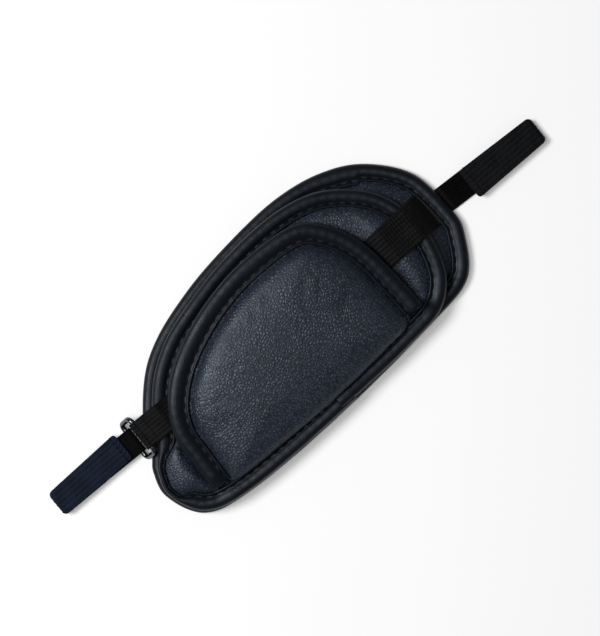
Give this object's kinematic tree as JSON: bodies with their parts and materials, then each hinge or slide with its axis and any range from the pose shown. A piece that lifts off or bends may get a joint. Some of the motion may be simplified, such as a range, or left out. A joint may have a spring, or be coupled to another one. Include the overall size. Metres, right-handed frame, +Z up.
{
  "type": "violin shoulder rest",
  "caption": "Padded leather shoulder rest in stacked tiers with stitched binding, cross webbing, a metal ring and fold-back hook-and-loop straps.",
  "frame": {"origin": "middle of the object's box on the plane that the underside rests on", "axes": "+Z up through the stack of pads, +X along the pads towards the strap that is sewn into the large pad, +Y away from the sewn edge"},
  "size_m": [0.2672, 0.0926, 0.0237],
  "materials": {
    "panel_leather": "near-black pebbled leather with a soft sheen",
    "binding_leather": "smooth folded near-black leather edging",
    "thread": "black bonded thread",
    "foam": "charcoal open-cell foam",
    "webbing": "dull black woven webbing",
    "strap_weave": "black ribbed woven band",
    "loop_pile": "jet black loop pile",
    "hook_tape": "black hook tape",
    "ring_metal": "dark polished plated wire"
  },
  "bodies": {
    "pads": {"large_base_leather": "panel_leather", "large_foam": "foam", "large_top_leather": "panel_leather", "large_binding": "binding_leather", "large_stitches": "thread", "middle_base_leather": "panel_leather", "middle_foam": "foam", "middle_top_leather": "panel_leather", "middle_binding": "binding_leather", "middle_stitches": "thread", "small_spine_tab": "panel_leather", "webbing_right": "webbing", "webbing_left": "webbing", "right_strap_root": "strap_weave"},
    "top_pad": {"small_base_leather": "panel_leather", "small_foam": "foam", "small_top_leather": "panel_leather", "small_binding": "binding_leather", "small_stitches": "thread"},
    "ring": {"ring": "ring_metal"},
    "left_strap": {"left_strap_band": "strap_weave", "left_pile_patch": "loop_pile"},
    "left_tail": {"left_hook_patch": "hook_tape", "left_strap_tail": "strap_weave"},
    "right_strap": {"right_strap_band": "strap_weave", "right_pile_patch": "loop_pile"},
    "right_tail": {"right_hook_patch": "hook_tape", "right_strap_tail": "strap_weave"}
  },
  "joints": [
    {"name": "top_flap", "type": "hinge", "parent": "pads", "child": "top_pad", "pos_m": [-0.01, -0.0366, 0.011], "axis": [0.9994, 0.0349, 0], "range_deg": [0, 70]},
    {"name": "ring_swing", "type": "hinge", "parent": "pads", "child": "ring", "pos_m": [-0.0844, 0.0028, 0.0102], "axis": [0, 1, 0], "range_deg": [0, 80]},
    {"name": "left_strap_swing", "type": "hinge", "parent": "ring", "child": "left_strap", "pos_m": [-0.0896, 0.0028, 0.00238], "axis": [0, 1, 0], "range_deg": [-50, 60]},
    {"name": "left_tail_peel", "type": "hinge", "parent": "left_strap", "child": "left_tail", "pos_m": [-0.1314, 0.0028, 0.00221], "axis": [0, -1, 0], "range_deg": [0, 150]},
    {"name": "right_strap_bend", "type": "hinge", "parent": "pads", "child": "right_strap", "pos_m": [0.0826, -0.0002, 0.00055], "axis": [0, 1, 0], "range_deg": [-30, 90]},
    {"name": "right_tail_peel", "type": "hinge", "parent": "right_strap", "child": "right_tail", "pos_m": [0.1314, -0.002, 0.00221], "axis": [0, 1, 0], "range_deg": [0, 150]}
  ]
}
